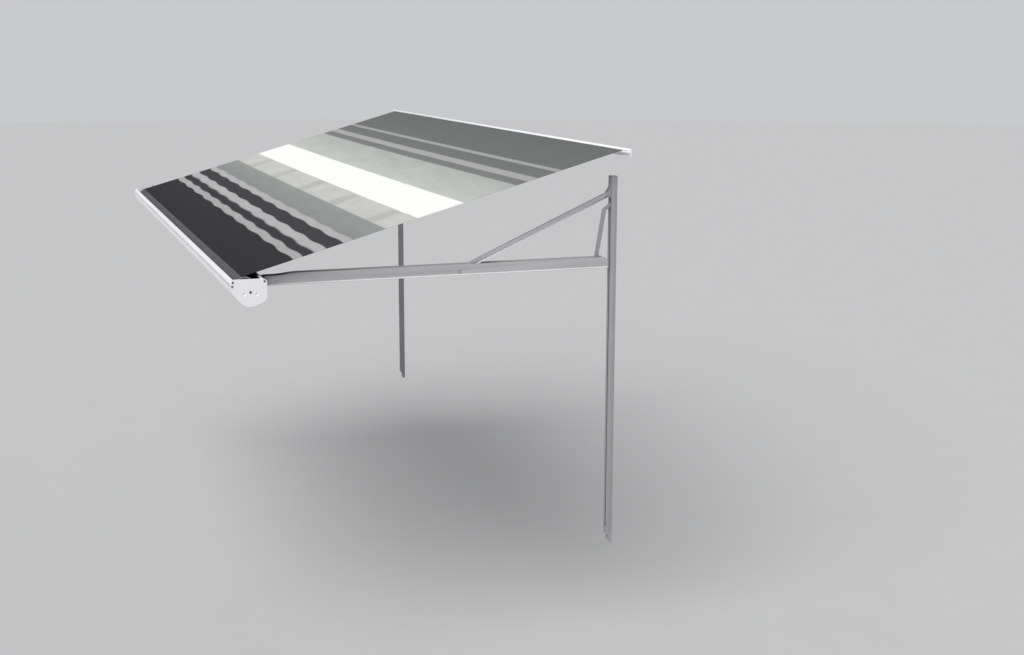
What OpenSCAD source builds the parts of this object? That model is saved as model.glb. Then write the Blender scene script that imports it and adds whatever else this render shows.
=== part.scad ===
// Roll out awning for the side of a camper.
// X runs along the wall, -Y points away from the wall, Z is up.
// The origin is on the wall, in the middle of the rail, where the fabric leaves it.
// Profiles are drawn as [distance from the wall, height] and extruded along X.

/* [Canopy] */
// Width of the fabric along the wall
canopy_w = 4890; // [3000:10:5500]
// Thickness of the fabric
canopy_t = 0.8; // [0.5:0.1:1.2]
// Distance of the roller's axis from the wall
reach = 2175; // [1900:5:2400]
// Drop of the roller's axis below the fabric's start
drop = 670; // [600:5:760]

/* [Wall rail] */
// How far the rail runs past each side of the fabric
rail_over = 75; // [40:5:120]
// Depth of the rail from the wall
rail_d = 26; // [22:1:32]
// Height of the rail above the fabric's start
rail_up = 12; // [10:1:20]
// Height of the rail's body below the fabric's start
rail_down = 12; // [8:1:16]
// Height of the screw flange below the body
flange_h = 20; // [16:1:30]
// Thickness of the screw flange
flange_t = 4; // [3:0.5:6]
// Radius of the screw holes in the flange
flange_hole_r = 3; // [2:0.25:4]
// Spacing of the screw holes along the rail
flange_pitch = 680; // [400:10:740]
// Radius of the bead in the fabric's edge
bead_r = 4.5; // [3:0.25:5]
// Width of the rail's mouth
rail_mouth = 3; // [2.4:0.2:5]
// Thickness of the rail's end caps
cap_t = 5; // [3:0.5:10]

/* [Side tracks] */
// Distance of each arm's middle from the fabric's side
arm_inset = 134; // [120:2:320]
// Width of a track
track_w = 52; // [36:1:60]
// Depth of a track from the wall
track_d = 34; // [24:1:35]
// Height of a track
track_l = 2150; // [2100:10:2400]
// Top of a track below the fabric's start
track_top = 155; // [120:5:180]
// Solid length at the top of a track
track_head = 132; // [120:2:140]
// Solid length at the bottom of a track
track_tail = 30; // [20:5:60]
// Width of the slot in a track
slot_w = 14; // [13.6:0.2:16]
// Wall thickness of a track
track_wall = 2.5; // [2:0.25:3]
// Height of a track's foot
foot_h = 60; // [45:5:90]
// Depth of a track's foot
foot_d = 18; // [10:1:26]
// Radius of the wall screw holes in a track and its foot
track_hole_r = 3.5; // [2.5:0.25:5]
// Distance of the upper wall screw hole below the track's top
track_hole_drop = 25; // [15:1:40]

/* [Braces] */
// Distance of the brace's upper pivot from the wall
brace_out = 51; // [50:1:60]
// Drop of the brace's upper pivot below the fabric's start
brace_drop = 262; // [255:1:275]
// Distance of the arm's brace pin from the wall
joint_out = 960; // [800:2:1050]
// Width of a brace along X
brace_w = 26; // [22:1:27]
// Depth of a brace
brace_depth = 27; // [24:1:30]
// Wall thickness of a brace
brace_wall = 2.5; // [2:0.25:4]
// Height of the ledge along a brace's lower edges
brace_ledge_h = 5; // [3:0.5:7]
// Width of the ledge along a brace's lower edges
brace_ledge_w = 3; // [1:0.5:5]
// Radius of the brace pins
brace_pin_r = 5; // [4:0.25:6]
// Outer radius of the brace bushes
brace_bush_r = 9; // [8:0.25:10]
// Thickness of each ear of the upper bracket
ear_t = 5; // [3:0.5:6]
// Thickness of the upper bracket's base
bracket_t = 4; // [3:0.5:8]
// How far the ears reach past the brace pivot
ear_nose = 13; // [11:1:18]

/* [Arms] */
// Height of the brace pin line over the arm's underside
arm_under = 22; // [20:0.5:26]
// Height of the arm's top over the brace pin line
arm_over = 40; // [34:1:44]
// Thickness of the arm's walls
arm_wall = 3; // [2:0.25:4]
// Gap between an arm's wall and the track
arm_gap = 3; // [2:0.5:5]
// Drop of the brace pin line below the roller's axis
arm_drop = -8; // [-12:1:15]
// Length at the inner end that has no bottom web
web_cut = 125; // [120:5:150]
// Chamfer at the inner end's top corner
arm_chamfer = 20; // [8:1:24]
// Length of the low neck at the outer end
neck_l = 66; // [50:2:200]
// Length of the slope up from the neck
neck_slope = 100; // [40:5:120]
// Height that is taken off the neck
neck_cut = 10; // [6:1:28]
// Height of the ledge along the arm's lower edges
ledge_h = 8; // [4:0.5:12]
// Width of the ledge along the arm's lower edges
ledge_w = 4; // [0.5:0.25:6]
// Gap between the arm's inner end and the track
arm_end_gap = 20; // [1:0.5:30]

/* [Stay links] */
// Distance of the stay's lower pin from the wall
stay_out = 123; // [110:1:135]
// Height of the slide button over the stay's lower pin
stay_rise = 353; // [335:1:358]
// Distance of the bend from the slide button, away from the wall
bend_out = 54; // [40:1:58]
// Drop of the bend below the slide button
bend_drop = 41; // [35:1:60]
// Depth of a stay's bar
stay_depth = 22; // [20:1:26]
// Thickness of each cheek of a stay
stay_cheek = 3; // [2:0.25:3.4]
// Thickness of the tongue between the cheeks
tongue_t = 6; // [5:0.25:6.2]
// Radius of the stay's pins
stay_pin_r = 4; // [3:0.25:6]
// Radius of the slide button
button_r = 11; // [9:0.5:12]

/* [Lead rail] */
// How far the lead rail runs past the fabric at the rear end
lead_over = 15; // [10:1:40]
// How far the lead rail runs past the fabric at the front end
lead_over_front = 150; // [10:5:200]
// Wall thickness of the lead rail
lead_wall = 3; // [2:0.25:4]
// Radius of the lead rail's belly
belly_r = 77; // [74:1:84]
// Distance of the belly's centre behind the roller's axis
belly_back = 25; // [20:1:30]
// Drop of the belly's centre below the roller's axis
belly_drop = 25; // [20:1:30]
// Distance of the lead rail's back wall behind the roller's axis
lead_back = 113; // [108:1:120]
// Radius of the lead rail's lower back corner
corner_r = 30; // [20:1:36]
// Height of the mouth over the roller's axis
mouth_up = 46; // [42:1:50]
// Thickness of the end plates
plate_t = 10; // [9:0.5:16]
// Radius of the access port in an end plate
port_r = 7; // [5:0.5:9]
// Depth of the access port
port_depth = 6; // [3:0.5:8]
// Radius of the dished marks beside the port
dish_r = 9; // [6:0.5:11]
// Depth of the dished marks
dish_depth = 3; // [1:0.5:4]
// Radius of the end plate screws
plate_screw_r = 2.5; // [2:0.25:3]
// Radius of the end plate screw heads
plate_head_r = 5; // [4:0.25:6.5]

/* [Roller] */
// Outer radius of the wound fabric
roll_r = 58; // [55:0.5:60]
// Outer radius of the roller tube
tube_r = 56; // [50:0.5:57]
// Wall thickness of the roller tube
tube_wall = 2.5; // [1.5:0.25:4]
// Radius of the tube motor
motor_r = 38; // [30:0.5:42]
// Length of the tube motor
motor_l = 560; // [400:10:700]
// Radius of the motor's output shaft
shaft_r = 8; // [6:0.5:12]
// Radius of the idler shaft
idler_r = 10; // [8:0.5:14]
// Length of the idler plug
plug_l = 60; // [40:5:90]
// Gap between the roller's ends and the end plates
roller_gap = 12; // [10:1:14]

/* [Hidden] */
// Running clearance between pins, shafts and their bores
fit = 0.05;
// Clearance between the fabric and what it passes over
cloth_gap = 0.3;
// Overlap of cutting shapes with the faces they cut
over = 1;
$fn = 64;

// Places that several pieces share
arm_x = canopy_w/2 - arm_inset;
rail_l = canopy_w + 2*rail_over;
lead_l = canopy_w + lead_over + lead_over_front;
lead_mid = (lead_over - lead_over_front)/2;
function lead_end(s) = lead_mid + s*lead_l/2;
axle = [reach, -drop];
brace_top = [brace_out, -brace_drop];
pin_z = -drop - arm_drop;
brace_end = [joint_out, pin_z];
stay_end = [stay_out, pin_z];
button_at = [track_d/2, pin_z + stay_rise];
bend = button_at + [bend_out, -bend_drop];
track_bottom = -track_top - track_l;
shoe_face = reach - lead_back;

// The fabric runs straight from the bead to the top of the roll
start = [rail_d, 0];
span = norm(axle - start);
cloth_r = roll_r + cloth_gap + canopy_t/2;
slope = atan2(axle[1] - start[1], axle[0] - start[0]) + asin(cloth_r/span);
along = [cos(slope), sin(slope)];
up = [-sin(slope), cos(slope)];
bead_depth = 12;
bead_at = start - along*bead_depth;
bead_reach = norm(bead_at - start);
sheet_l = sqrt(span*span - cloth_r*cloth_r) + bead_reach;

// Arm section
arm_in = track_w + 2*arm_gap;
arm_w = arm_in + 2*arm_wall;
arm_start = track_d + arm_end_gap;
shoe_neck = 10;
arm_end = shoe_face - shoe_neck;
shoe_grip = 150;
shoe_flange = 8;
shoe_wall = 8;
shoe_w = 96;
bolt_r = 4;
bolt_from_end = [14, 69];
bolt_low = 6;
bolt_head_h = 5;
bolt_head_r = 7.5;

// Lead rail outline, measured from the roller's axis
belly = [-belly_back, -belly_drop];
brow = [80, 15];
chin = [74, -26];
lip_edge = [70, mouth_up];
lip_w = 4;
back_lip_w = 5;
groove_w = 5;
groove_depth = 0.6*lead_wall;
groove_tilt = 5;
lip_fall = 12;
chamfer_low = [-lead_back, 34];
chamfer_run = 38;
chamfer_high = [-lead_back + chamfer_run, 57];
mouth_cut = 20;
to_chin = chin - belly;
front_angle = atan2(to_chin[1], to_chin[0]) - acos(belly_r/norm(to_chin));
belly_end = -112;
corner_bottom = 80;
corner = [corner_r - lead_back, corner_r - corner_bottom];
corner_start = -125;
port_at = belly;
dish_at = [belly + [33, -10], belly + [-33, -12]];
plate_screw_l = 28;
plate_head_h = 3;
boss_at = [[70.5, 10.5], [67, 31.7], [-99.5, 32]];
boss_r = 7;

function turn(c, r, a, b, n) = [for (i = [0:n]) c + r*[cos(a + (b - a)*i/n), sin(a + (b - a)*i/n)]];
lead_outline = concat([lip_edge, brow, chin], turn(belly, belly_r, front_angle, belly_end, 40),
  turn(corner, corner_r, corner_start, -180, 12), [chamfer_low, chamfer_high]);

// An outline moved inwards: each corner is where its two shifted edges meet
function unit(v) = v/norm(v);
function side(d) = [d[1], -d[0]];
function meet(p, d, q, e) = p + d*((q - p)*side(e))/(d*side(e));
function shrunk(pts, t) = let(n = len(pts)) [for (i = [0:n - 1])
  let(a = pts[(i + n - 1)%n], b = pts[i], c = pts[(i + 1)%n], d = unit(b - a), e = unit(c - b))
  norm(d - e) < 1e-6 ? b + side(d)*t : meet(b + side(d)*t, d, b + side(e)*t, e)];

// Extrudes a [distance from the wall, height] profile along X, centred on x
module slab(x, w) {
  translate([x, 0, 0]) rotate([90, 0, -90]) linear_extrude(w, center = true) children();
}

// A round bar along X, centred on x, at a [distance, height] point
module rod(x, at, r, l) {
  translate([x, -at[0], at[1]]) rotate([0, 90, 0]) cylinder(r = r, h = l, center = true);
}

// A round hole that runs away from the wall
module wall_hole(x, z, r, l) {
  translate([x, over, z]) rotate([90, 0, 0]) cylinder(r = r, h = l + 2*over);
}

// A straight bar between two points with round ends
module bar2d(p, q, r) {
  d = unit(q - p);
  n = side(d)*r;
  polygon([p + n, q + n, q - n, p - n]);
  translate(p) circle(r);
  translate(q) circle(r);
}

// A bar under a channel of width w, between two points, that makes a sloped ledge on each side
module ledge(x, p, q, w, out, h) {
  d = q - p;
  foot = h/4;
  translate([x, -p[0], p[1]]) rotate([90 - atan2(d[1], d[0]), 0, 0]) linear_extrude(norm(d))
    polygon([[-w/2 - out, 0], [w/2 + out, 0], [w/2 + out, foot], [w/2, h], [-w/2, h], [-w/2 - out, foot]]);
}

// Slopes at the rail's front corners
rail_brow = 6;
rail_chin = 4;

// Wall rail: body with the bead's bore and mouth, and a screw flange under it
module rail_profile() {
  polygon([[0, rail_up], [rail_d - rail_brow, rail_up], [rail_d, rail_up - rail_brow],
    [rail_d, -rail_down + rail_chin], [rail_d - rail_chin, -rail_down], [flange_t, -rail_down],
    [flange_t, -rail_down - flange_h], [0, -rail_down - flange_h]]);
}

module wall_rail() {
  color("gainsboro") difference() {
    slab(0, rail_l) difference() {
      rail_profile();
      translate(bead_at) circle(bead_r + cloth_gap);
      translate(bead_at) rotate(slope) translate([0, -rail_mouth/2]) square([rail_d, rail_mouth]);
    }
    for (i = [-3.5:3.5]) wall_hole(i*flange_pitch, -rail_down - flange_h/2, flange_hole_r, flange_t);
  }
}

module rail_caps() {
  color("whitesmoke") for (s = [-1, 1]) slab(s*(rail_l + cap_t)/2, cap_t) rail_profile();
}

module fabric_bead() {
  color("dimgray") rod(0, bead_at, bead_r, canopy_w);
}

// Canopy: one taut sheet from the bead to the top of the roll
module canopy() {
  color("gray") slab(0, canopy_w) translate(bead_at) rotate(slope)
    translate([bead_r + fit, -canopy_t/2]) square([sheet_l - bead_r - fit, canopy_t]);
}

// Side track: a hollow bar with a long slot through its front and its back
module track(s) {
  x = s*arm_x;
  hollow_low = track_bottom + track_tail;
  hollow_l = track_l - track_head - track_tail;
  color("silver") difference() {
    slab(x, track_w) translate([0, track_bottom]) square([track_d, track_l]);
    slab(x, track_w - 2*track_wall) translate([track_wall, hollow_low])
      square([track_d - 2*track_wall, hollow_l]);
    slab(x, slot_w) translate([-over, hollow_low]) square([track_d + 2*over, hollow_l]);
    wall_hole(x, -track_top - track_hole_drop, track_hole_r, track_d);
  }
}

module track_rear() { track(1); }
module track_front() { track(-1); }

// Upper bracket: a base on the track's head and two ears around the brace
ear_gap = 0.5;
ear_x = brace_w/2 + ear_gap + ear_t/2;
ear_root = 30;
base_edge = 4;
base_low = -brace_drop + brace_depth/2 + base_edge;
base_high = -track_top - base_edge;

module brace_bracket(s) {
  x = s*arm_x;
  color("silver") difference() {
    union() {
      slab(x, 2*ear_x + ear_t) translate([track_d, base_low])
        square([bracket_t, base_high - base_low]);
      for (e = [-1, 1]) slab(x + e*ear_x, ear_t) {
        polygon([[track_d, base_low + ear_root], [track_d + bracket_t, base_low + ear_root],
          brace_top + ear_nose*[cos(45), sin(45)], brace_top, [track_d, -brace_drop - ear_nose]]);
        polygon([[track_d, -brace_drop - ear_nose], [brace_out, -brace_drop - ear_nose], brace_top,
          [track_d, -brace_drop]]);
        translate(brace_top) circle(ear_nose);
      }
    }
    rod(x, brace_top, brace_pin_r + fit, track_w);
    wall_hole(x, -track_top - track_hole_drop, track_hole_r, track_d + bracket_t);
  }
}

module brace_bracket_rear() { brace_bracket(1); }
module brace_bracket_front() { brace_bracket(-1); }

// Plain pin through the bracket's ears and the brace's upper bush
module bracket_pin(s) {
  pin_l = 2*ear_x + ear_t;
  color("darkgray") rod(s*arm_x, brace_top, brace_pin_r, pin_l);
}

module bracket_pin_rear() { bracket_pin(1); }
module bracket_pin_front() { bracket_pin(-1); }

// Foot under a track: steps in to a thinner pad with a wall screw hole
foot_step = 8;
foot_toe = 6;
foot_hole_z = track_bottom - foot_h/2 - foot_toe;

module track_foot(s) {
  x = s*arm_x;
  color("silver") difference() {
    slab(x, track_w) polygon([[0, track_bottom], [track_d, track_bottom],
      [track_d, track_bottom - foot_step], [foot_d, track_bottom - 2*foot_step],
      [foot_d, track_bottom - foot_h + foot_toe], [foot_d - foot_toe, track_bottom - foot_h],
      [0, track_bottom - foot_h]]);
    wall_hole(x, foot_hole_z, track_hole_r, track_d);
  }
}

module track_foot_rear() { track_foot(1); }
module track_foot_front() { track_foot(-1); }

// Brace: a channel that is open underneath, with a sloped ledge along each lower edge
// and a bush through each end
module brace(s) {
  x = s*arm_x;
  r = brace_depth/2;
  d = unit(brace_end - brace_top);
  n = [-d[1], d[0]];
  a = brace_top + d*brace_depth;
  b = brace_end - d*brace_depth;
  color("silver") difference() {
    union() {
      slab(x, brace_w) bar2d(brace_top, brace_end, r);
      ledge(x, a - n*r, b - n*r, brace_w, brace_ledge_w, brace_ledge_h);
    }
    slab(x, brace_w - 2*brace_wall) polygon([a + n*(r - brace_wall), b + n*(r - brace_wall),
      b - n*(r + over), a - n*(r + over)]);
    for (p = [brace_top, brace_end]) rod(x, p, brace_bush_r, brace_w + 2*over);
  }
}

module brace_rear() { brace(1); }
module brace_front() { brace(-1); }

module brace_bushes(s) {
  x = s*arm_x;
  color("dimgray") for (p = [brace_top, brace_end]) difference() {
    rod(x, p, brace_bush_r, brace_w);
    rod(x, p, brace_pin_r + fit, brace_w + 2*over);
  }
}

module brace_bushes_rear() { brace_bushes(1); }
module brace_bushes_front() { brace_bushes(-1); }

// Arm: a channel that is open on top, low at its outer end, with no web near the track
arm_bottom = pin_z - arm_under;
arm_top = pin_z + arm_over;

module arm_side() {
  polygon([[arm_start, arm_bottom], [arm_end, arm_bottom], [arm_end, arm_top - neck_cut],
    [arm_end - neck_l, arm_top - neck_cut], [arm_end - neck_l - neck_slope, arm_top],
    [arm_start + arm_chamfer, arm_top], [arm_start, arm_top - arm_chamfer]]);
}

module shoe_bolt_rods(x, r, l) {
  for (d = bolt_from_end) rod(x, [arm_end - d, pin_z - bolt_low], r, l);
}

module arm(s) {
  x = s*arm_x;
  color("silver") difference() {
    union() {
      slab(x, arm_w) arm_side();
      ledge(x, [arm_start, arm_bottom], [arm_end, arm_bottom], arm_w, ledge_w, ledge_h);
    }
    slab(x, arm_in) translate([arm_start - over, arm_bottom + arm_wall])
      square([arm_end - arm_start + 2*over, arm_under + arm_over]);
    slab(x, arm_in) translate([arm_start - over, arm_bottom - over])
      square([web_cut + over, arm_wall + 2*over]);
    rod(x, brace_end, brace_pin_r + fit, arm_w + 2*over);
    shoe_bolt_rods(x, bolt_r + fit, arm_w + 4*over);
  }
}

module arm_rear() { arm(1); }
module arm_front() { arm(-1); }

// Pin through the arm and the brace's lower end, with a head on each side
module headed_pin(x, at, r, l, head_r, head_h) {
  rod(x, at, r, l);
  for (e = [-1, 1]) rod(x + e*(l + head_h)/2, at, head_r, head_h);
}

pin_head = 3;

module arm_pin(s) {
  color("darkgray") headed_pin(s*arm_x, brace_end, brace_pin_r, arm_w, brace_pin_r + pin_head, pin_head);
}

module arm_pin_rear() { arm_pin(1); }
module arm_pin_front() { arm_pin(-1); }

// Toe in the arm's inner end: a low block on the web and a thin tongue that carries the stay.
// The tongue slopes down from the pin, so that the folded stay lies over it.
toe_l = 50;
toe_back = 15;
toe_low = 13;
toe_eye_r = 11;
tongue_knee = [20, 6];
tongue_slope = 60;

module arm_toe(s) {
  x = s*arm_x;
  root = arm_start + web_cut + toe_back;
  seat = arm_bottom + arm_wall;
  top = pin_z - toe_low;
  color("dimgray") difference() {
    union() {
      slab(x, arm_in) translate([root, seat]) square([toe_l, top - seat]);
      slab(x, tongue_t) polygon([stay_end + [0, toe_eye_r], stay_end + tongue_knee,
        [stay_out + tongue_slope, top], [root + toe_l, top], [root + toe_l, seat], [root, seat],
        stay_end - [0, toe_eye_r]]);
      rod(x, stay_end, toe_eye_r, tongue_t);
    }
    rod(x, stay_end, stay_pin_r + fit, tongue_t + 2*over);
  }
}

module arm_toe_rear() { arm_toe(1); }
module arm_toe_front() { arm_toe(-1); }

// Stay link: two bent cheeks with the slide button at the top and the arm's tongue at the bottom
stay_gap = 0.3;
hook_r = 9;
spacer_edge = 4;
spacer_top = [4, -16];
spacer_share = 0.72;
cheek_x = tongue_t/2 + stay_gap + stay_cheek/2;
stay_w = 2*cheek_x + stay_cheek;

module stay(s) {
  x = s*arm_x;
  color("silver") difference() {
    union() {
      for (e = [-1, 1]) slab(x + e*cheek_x, stay_cheek) {
        bar2d(button_at, bend, hook_r);
        bar2d(bend, stay_end, stay_depth/2);
      }
      slab(x, stay_w) bar2d(bend + spacer_top, bend + (stay_end - bend)*spacer_share,
        stay_depth/2 - spacer_edge);
    }
    for (p = [button_at, stay_end]) rod(x, p, stay_pin_r + fit, stay_w + 2*over);
  }
}

module stay_rear() { stay(1); }
module stay_front() { stay(-1); }

module stay_pin(s) {
  color("darkgray") rod(s*arm_x, stay_end, stay_pin_r, stay_w);
}

module stay_pin_rear() { stay_pin(1); }
module stay_pin_front() { stay_pin(-1); }

module slide_button(s) {
  x = s*arm_x;
  color("whitesmoke") difference() {
    rod(x, button_at, button_r, tongue_t);
    rod(x, button_at, stay_pin_r + fit, tongue_t + 2*over);
  }
}

module slide_button_rear() { slide_button(1); }
module slide_button_front() { slide_button(-1); }

module button_pin(s) {
  color("darkgray") rod(s*arm_x, button_at, stay_pin_r, stay_w);
}

module button_pin_rear() { button_pin(1); }
module button_pin_front() { button_pin(-1); }

// Shoe in the arm's outer end, with a flange on the lead rail's back wall
module arm_shoe(s) {
  x = s*arm_x;
  low = arm_bottom + arm_wall;
  color("dimgray") difference() {
    union() {
      slab(x, arm_in) translate([arm_end - shoe_grip, low])
        square([shoe_grip + shoe_face - arm_end - shoe_flange, arm_under - arm_wall + arm_over - neck_cut]);
      slab(x, shoe_w) translate([shoe_face - shoe_flange, axle[1] + corner[1]])
        square([shoe_flange, chamfer_low[1] - corner[1]]);
    }
    slab(x, arm_in - 2*shoe_wall) translate([arm_end - shoe_grip - over, low + shoe_wall])
      square([shoe_grip - shoe_wall, arm_under + arm_over]);
    shoe_bolt_rods(x, bolt_r + fit, arm_w + 2*over);
  }
}

module arm_shoe_rear() { arm_shoe(1); }
module arm_shoe_front() { arm_shoe(-1); }

module shoe_bolts(s) {
  x = s*arm_x;
  color("darkgray") {
    shoe_bolt_rods(x, bolt_r, arm_w + 2*bolt_head_h);
    for (e = [-1, 1]) shoe_bolt_rods(x + e*(arm_w + bolt_head_h)/2, bolt_head_r, bolt_head_h, $fn = 6);
  }
}

module shoe_bolts_rear() { shoe_bolts(1); }
module shoe_bolts_front() { shoe_bolts(-1); }

// Lead rail: an open trough with a groove along its brow and screw bosses for the end plates
module lead_rail() {
  color("whitesmoke") difference() {
    union() {
      slab(lead_mid, lead_l) translate(axle) difference() {
        polygon(lead_outline);
        polygon(shrunk(lead_outline, lead_wall));
        translate(brow) rotate(groove_tilt) square([2*groove_depth, groove_w], center = true);
        polygon([chamfer_high + [back_lip_w, mouth_cut], lip_edge + [-lip_w, mouth_cut],
          lip_edge + [-lip_w, -lip_fall], chamfer_high + [back_lip_w, -lip_fall]]);
      }
      for (p = boss_at) rod(lead_mid, axle + p, boss_r, lead_l);
    }
    for (p = boss_at) rod(lead_mid, axle + p, plate_screw_r + fit, lead_l + 2*over);
  }
}

// Wiper seal that stands on the back edge of the lead rail's mouth
function mouth_at(u) = [u, chamfer_high[1]
  + (u - chamfer_high[0])*(lip_edge[1] - chamfer_high[1])/(lip_edge[0] - chamfer_high[0])];
seal_edge = 1;
seal_u = chamfer_high[0] + seal_edge;
seal_foot = 3;
seal_tip = [[13.5, 18], [11.5, 18.6]];

module wiper_seal() {
  color("black") slab(lead_mid, lead_l) translate(axle)
    translate([0, fit]) polygon([mouth_at(seal_u), mouth_at(seal_u + seal_foot), mouth_at(seal_u) + seal_tip[0],
      mouth_at(seal_u) + seal_tip[1]]);
}

// End plate: the lead rail's outline, lower across the mouth, with two dished marks
module end_plate(s) {
  x = lead_end(s) + s*plate_t/2;
  out_x = lead_end(s) + s*plate_t;
  color("whitesmoke") difference() {
    slab(x, plate_t) translate(axle) polygon(concat(lead_outline, [[chamfer_high[0], mouth_up]]));
    rod(out_x, axle + port_at, port_r, 2*port_depth);
    for (p = dish_at) translate([out_x, -axle[0] - p[0], axle[1] + p[1]]) rotate([0, -90*s, 0])
      cylinder(r1 = dish_r, r2 = dish_r/3, h = dish_depth);
    for (p = boss_at) rod(x, axle + p, plate_screw_r + fit, plate_t + 2*over);
  }
}

module end_plate_rear() { end_plate(1); }
module end_plate_front() { end_plate(-1); }

// Cap in the access port, a little below the plate's face
cap_sink = 1;

module port_cap(s) {
  l = port_depth - cap_sink;
  color("dimgray") rod(lead_end(s) + s*(plate_t - port_depth + l/2), axle + port_at, port_r - fit, l);
}

module port_cap_rear() { port_cap(1); }
module port_cap_front() { port_cap(-1); }

module plate_screws(s) {
  color("dimgray") for (p = boss_at) {
    rod(lead_end(s) + s*(plate_t - plate_screw_l/2), axle + p, plate_screw_r, plate_screw_l);
    rod(lead_end(s) + s*(plate_t + plate_head_h/2), axle + p, plate_head_r, plate_head_h);
  }
}

module plate_screws_rear() { plate_screws(1); }
module plate_screws_front() { plate_screws(-1); }

// Roller: the tube motor hangs on the rear end plate, the idler shaft on the front one
tube_l = lead_l - 2*roller_gap;
tube_in = tube_r - tube_wall;
head_gap = 2;
head_t = roller_gap - head_gap;
head_edge = 6;
motor_end = lead_end(1) - head_t - motor_l;
shaft_l = 50;
shaft_gap = 0.3;
shaft_x = motor_end - shaft_gap - shaft_l/2;
wheel_t = 30;
crown_t = 24;

module tube_motor() {
  color("dimgray") {
    rod(lead_end(1) - head_t/2, axle, tube_r - head_edge, head_t);
    rod(lead_end(1) - head_t - motor_l/2, axle, motor_r, motor_l);
  }
}

module motor_shaft() {
  color("silver") rod(shaft_x, axle, shaft_r, shaft_l);
}

module idler_shaft() {
  color("silver") {
    rod(lead_end(-1) + head_t/2, axle, 2*idler_r, head_t);
    rod(lead_end(-1) + head_t + plug_l/2, axle, idler_r, plug_l);
  }
}

module ring(x, outer, inner, l) {
  difference() {
    rod(x, axle, outer, l);
    rod(x, axle, inner, l + 2*over);
  }
}

module roller_tube() {
  color("silver") ring(lead_mid, tube_r, tube_in, tube_l);
}

module fabric_roll() {
  color("gray") ring(0, roll_r, tube_r, canopy_w);
}

module crown_ring() {
  color("black") ring(lead_end(1) - roller_gap - crown_t/2, tube_in, motor_r + fit, crown_t);
}

module drive_wheel() {
  color("black") ring(shaft_x, tube_in, shaft_r + fit, wheel_t);
}

module idler_plug() {
  color("black") ring(lead_end(-1) + roller_gap + plug_l/2, tube_in, idler_r + fit, plug_l);
}

wall_rail();
rail_caps();
fabric_bead();
canopy();
track_rear();
track_front();
brace_bracket_rear();
brace_bracket_front();
bracket_pin_rear();
bracket_pin_front();
track_foot_rear();
track_foot_front();
brace_rear();
brace_front();
brace_bushes_rear();
brace_bushes_front();
arm_rear();
arm_front();
arm_pin_rear();
arm_pin_front();
arm_toe_rear();
arm_toe_front();
stay_pin_rear();
stay_pin_front();
stay_rear();
stay_front();
slide_button_rear();
slide_button_front();
button_pin_rear();
button_pin_front();
arm_shoe_rear();
arm_shoe_front();
shoe_bolts_rear();
shoe_bolts_front();
lead_rail();
wiper_seal();
end_plate_rear();
end_plate_front();
plate_screws_rear();
plate_screws_front();
port_cap_rear();
port_cap_front();
tube_motor();
motor_shaft();
idler_shaft();
roller_tube();
fabric_roll();
crown_ring();
drive_wheel();
idler_plug();
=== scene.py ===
"""Dresses a roll out awning: striped fabric, white lead rail, metal arms and a plain stage."""

import math

import bmesh
import bpy
from mathutils import Matrix, Vector


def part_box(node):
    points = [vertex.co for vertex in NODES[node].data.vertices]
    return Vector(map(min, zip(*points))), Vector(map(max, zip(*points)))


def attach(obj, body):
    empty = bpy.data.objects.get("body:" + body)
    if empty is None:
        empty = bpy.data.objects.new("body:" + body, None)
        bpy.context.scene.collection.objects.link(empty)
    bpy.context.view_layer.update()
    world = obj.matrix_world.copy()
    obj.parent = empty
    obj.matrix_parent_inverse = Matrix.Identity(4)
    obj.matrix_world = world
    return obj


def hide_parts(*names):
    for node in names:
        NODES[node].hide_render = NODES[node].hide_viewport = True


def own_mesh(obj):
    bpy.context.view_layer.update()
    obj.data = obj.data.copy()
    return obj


bl_info = {
    "name": "Roll Out Awning",
    "version": (1, 0, 0),
    "blender": (4, 5, 0),
    "location": "3D View > Sidebar > Awning",
    "description": "Dresses a wall mounted roll out awning and sets its stage",
    "category": "Add Mesh",
}

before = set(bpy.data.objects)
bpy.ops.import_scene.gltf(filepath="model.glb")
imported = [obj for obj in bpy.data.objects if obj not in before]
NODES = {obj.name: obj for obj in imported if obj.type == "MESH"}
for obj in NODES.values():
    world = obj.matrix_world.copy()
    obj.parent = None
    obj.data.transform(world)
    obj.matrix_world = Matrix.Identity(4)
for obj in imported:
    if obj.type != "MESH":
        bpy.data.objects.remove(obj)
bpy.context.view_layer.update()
MM = 0.001
ENDS = ("rear", "front")
ACROSS = Vector((1, 0, 0))


def sheet_edge(outer):
    """Middle of the canopy's outer edge, or of its edge at the wall."""
    points = [v.co for v in NODES["canopy"].data.vertices]
    middle = sum(p.y for p in points) / len(points)
    picked = [p for p in points if (p.y < middle) == outer]
    at = sum(picked, Vector()) / len(picked)
    at.x = 0
    return at


# Places read from the frame, in metres
WALL_EDGE = sheet_edge(False)
ROLL_EDGE = sheet_edge(True)
REACH = WALL_EDGE.y - ROLL_EDGE.y
SHEET_L = (ROLL_EDGE - WALL_EDGE).length
SHEET_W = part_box("canopy")[1].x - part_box("canopy")[0].x
ALONG = (ROLL_EDGE - WALL_EDGE).normalized()
UP = ALONG.cross(ACROSS)
AXLE = sum(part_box("fabric_roll"), Vector()) / 2
TUBE_R = (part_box("roller_tube")[1].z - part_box("roller_tube")[0].z) / 2
ROLL_R = (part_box("fabric_roll")[1].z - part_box("fabric_roll")[0].z) / 2
# The crease along the lead rail's front, at its outermost line and this far above the axle
BROW_UP = 15 * MM
BROW = Vector((0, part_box("lead_rail")[0].y, AXLE.z + BROW_UP))

# The sheet: thickness of the cloth, and grid steps along the wall and away from it
CLOTH_T = 0.8 * MM
SHEET_STEPS = (96, 48)
# Hems: share of the cloth's thickness, and where on its width the stitches run
HEM_THICKNESS = 0.9
STITCH_LINE = 0.8
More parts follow.
